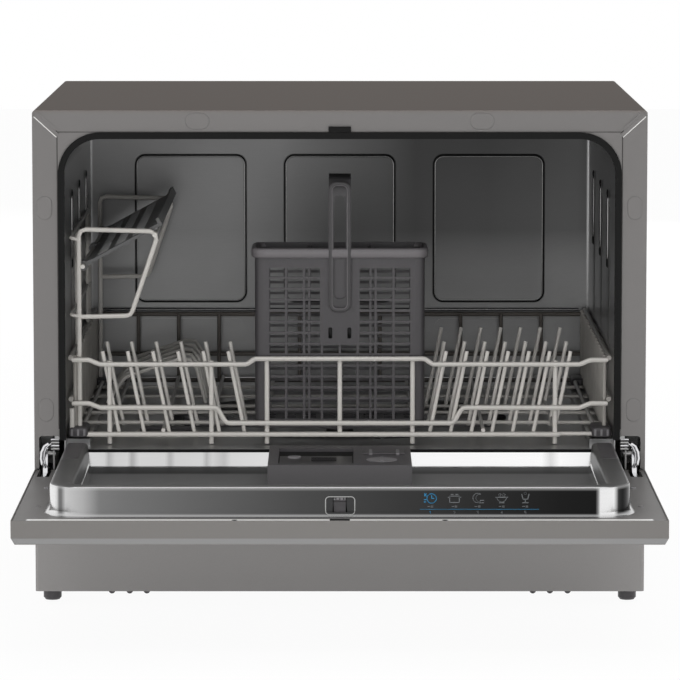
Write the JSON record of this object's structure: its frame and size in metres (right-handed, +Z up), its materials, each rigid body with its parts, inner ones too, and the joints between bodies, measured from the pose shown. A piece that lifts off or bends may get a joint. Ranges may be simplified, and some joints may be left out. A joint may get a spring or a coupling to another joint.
{
  "type": "countertop dishwasher",
  "caption": "Compact front-opening dishwasher with a drop-down door, a wire dish rack, a gridded cutlery basket and a folding cup shelf.",
  "frame": {"origin": "centre of the footprint at the table", "axes": "+Z up; the front with the door faces -Y; +X to the right seen from the front"},
  "size_m": [0.55, 0.778, 0.447],
  "materials": {
    "paint": "satin silver paint",
    "steel": "polished stainless sheet",
    "chrome": "bright",
    "dark_plastic": "satin",
    "black_plastic": "gloss",
    "rubber": "matt",
    "wire": "nylon coated wire",
    "pale_plastic": "matt",
    "grey_plastic": "matt",
    "motor_metal": "matt",
    "board": "matt"
  },
  "bodies": {
    "cabinet": {"cabinet_wrap": "paint", "kick_panel": "paint", "base_tray": "dark_plastic", "rubber_feet": "rubber", "rear_panel": "paint", "rear_screws": "steel", "tub_shell": "steel", "tub_back": "steel", "tub_floor": "steel", "door_gasket": "rubber", "latch_striker": "black_plastic", "bumper_caps": "paint", "hinge_brackets": "steel", "hinge_pins": "chrome", "hinge_springs": "chrome", "sump_housing": "dark_plastic", "filter_plate": "steel", "softener_tank": "pale_plastic", "wash_pump": "motor_metal", "drain_pump": "motor_metal", "internal_hoses": "rubber", "inlet_valve": "pale_plastic", "drain_outlet": "grey_plastic", "cord_gland": "rubber", "air_breather": "pale_plastic"},
    "filter_cup": {"coarse_filter": "dark_plastic"},
    "salt_lid": {"salt_cap": "dark_plastic"},
    "spray": {"spray_arm": "grey_plastic"},
    "door": {"door_outer_panel": "paint", "door_liner": "steel", "control_console": "black_plastic", "display_window": "black_plastic", "control_board": "board", "latch_body": "black_plastic", "hinge_arms": "chrome", "door_screws": "chrome", "dispenser_body": "dark_plastic"},
    "button_power": {"power_button": "steel"},
    "button_program": {"program_button": "steel"},
    "button_delay": {"delay_button": "steel"},
    "button_start": {"start_button": "steel"},
    "claw": {"latch_claw": "chrome"},
    "lid": {"detergent_lid": "dark_plastic"},
    "lid_release": {"dispenser_release": "grey_plastic"},
    "rinse_cap": {"rinse_aid_cap": "grey_plastic"},
    "rack": {"rack_front": "wire", "rack_back": "wire", "rack_side_left": "wire", "rack_side_right": "wire", "rack_floor": "wire", "plate_pins_left": "wire", "plate_pins_right": "wire", "bowl_supports": "wire", "cup_shelf_frame": "wire", "shelf_rods": "wire", "rack_glides": "dark_plastic"},
    "shelf": {"cup_shelf": "dark_plastic"},
    "cutlery": {"cutlery_basket": "dark_plastic", "cutlery_grids": "dark_plastic", "cutlery_handle": "dark_plastic"}
  },
  "joints": [
    {"name": "door_hinge", "type": "hinge", "parent": "cabinet", "child": "door", "pos_m": [0, -0.081, 0.1364], "axis": [-1, 0, 0], "range_deg": [0, 90]},
    {"name": "rack_slide", "type": "slide", "parent": "cabinet", "child": "rack", "axis": [0, 1, 0], "range_m": [-0.22, 0]},
    {"name": "cup_shelf_fold", "type": "hinge", "parent": "rack", "child": "shelf", "pos_m": [-0.2326, 0.129, 0.3032], "axis": [0, -1, 0], "range_deg": [0, 60]},
    {"name": "cutlery_lift", "type": "slide", "parent": "rack", "child": "cutlery", "axis": [0, 0, 1], "range_m": [0, 0.035]},
    {"name": "spray_arm_spin", "type": "hinge", "parent": "cabinet", "child": "spray", "pos_m": [0, 0.131, 0.135], "axis": [0, 0, 1], "continuous": true},
    {"name": "coarse_filter_turn", "type": "hinge", "parent": "cabinet", "child": "filter_cup", "pos_m": [0.07, 0.059, 0.12], "axis": [0, 0, 1], "range_deg": [0, 90]},
    {"name": "salt_cap_turn", "type": "hinge", "parent": "cabinet", "child": "salt_lid", "pos_m": [-0.16, 0.019, 0.135], "axis": [0, 0, 1], "range_deg": [0, 90]},
    {"name": "rinse_cap_turn", "type": "hinge", "parent": "door", "child": "rinse_cap", "pos_m": [0.037, -0.186, 0.14], "axis": [0, 0, 1], "range_deg": [0, 90]},
    {"name": "detergent_lid_slide", "type": "slide", "parent": "door", "child": "lid", "axis": [0, 1, 0], "range_m": [0, 0.044]},
    {"name": "lid_release_press", "type": "slide", "parent": "lid", "child": "lid_release", "axis": [0, 0, -1], "range_m": [0, 0.001], "stiffness_N_per_m": 300},
    {"name": "latch_claw_swing", "type": "hinge", "parent": "door", "child": "claw", "pos_m": [0, -0.357, 0.1221], "axis": [1, 0, 0], "range_deg": [0, 33]},
    {"name": "power_press", "type": "slide", "parent": "door", "child": "button_power", "axis": [0, 0, 1], "range_m": [0, 0.0015], "stiffness_N_per_m": 400},
    {"name": "program_press", "type": "slide", "parent": "door", "child": "button_program", "axis": [0, 0, 1], "range_m": [0, 0.0015], "stiffness_N_per_m": 400},
    {"name": "delay_press", "type": "slide", "parent": "door", "child": "button_delay", "axis": [0, 0, 1], "range_m": [0, 0.0015], "stiffness_N_per_m": 400},
    {"name": "start_press", "type": "slide", "parent": "door", "child": "button_start", "axis": [0, 0, 1], "range_m": [0, 0.0015], "stiffness_N_per_m": 400}
  ]
}
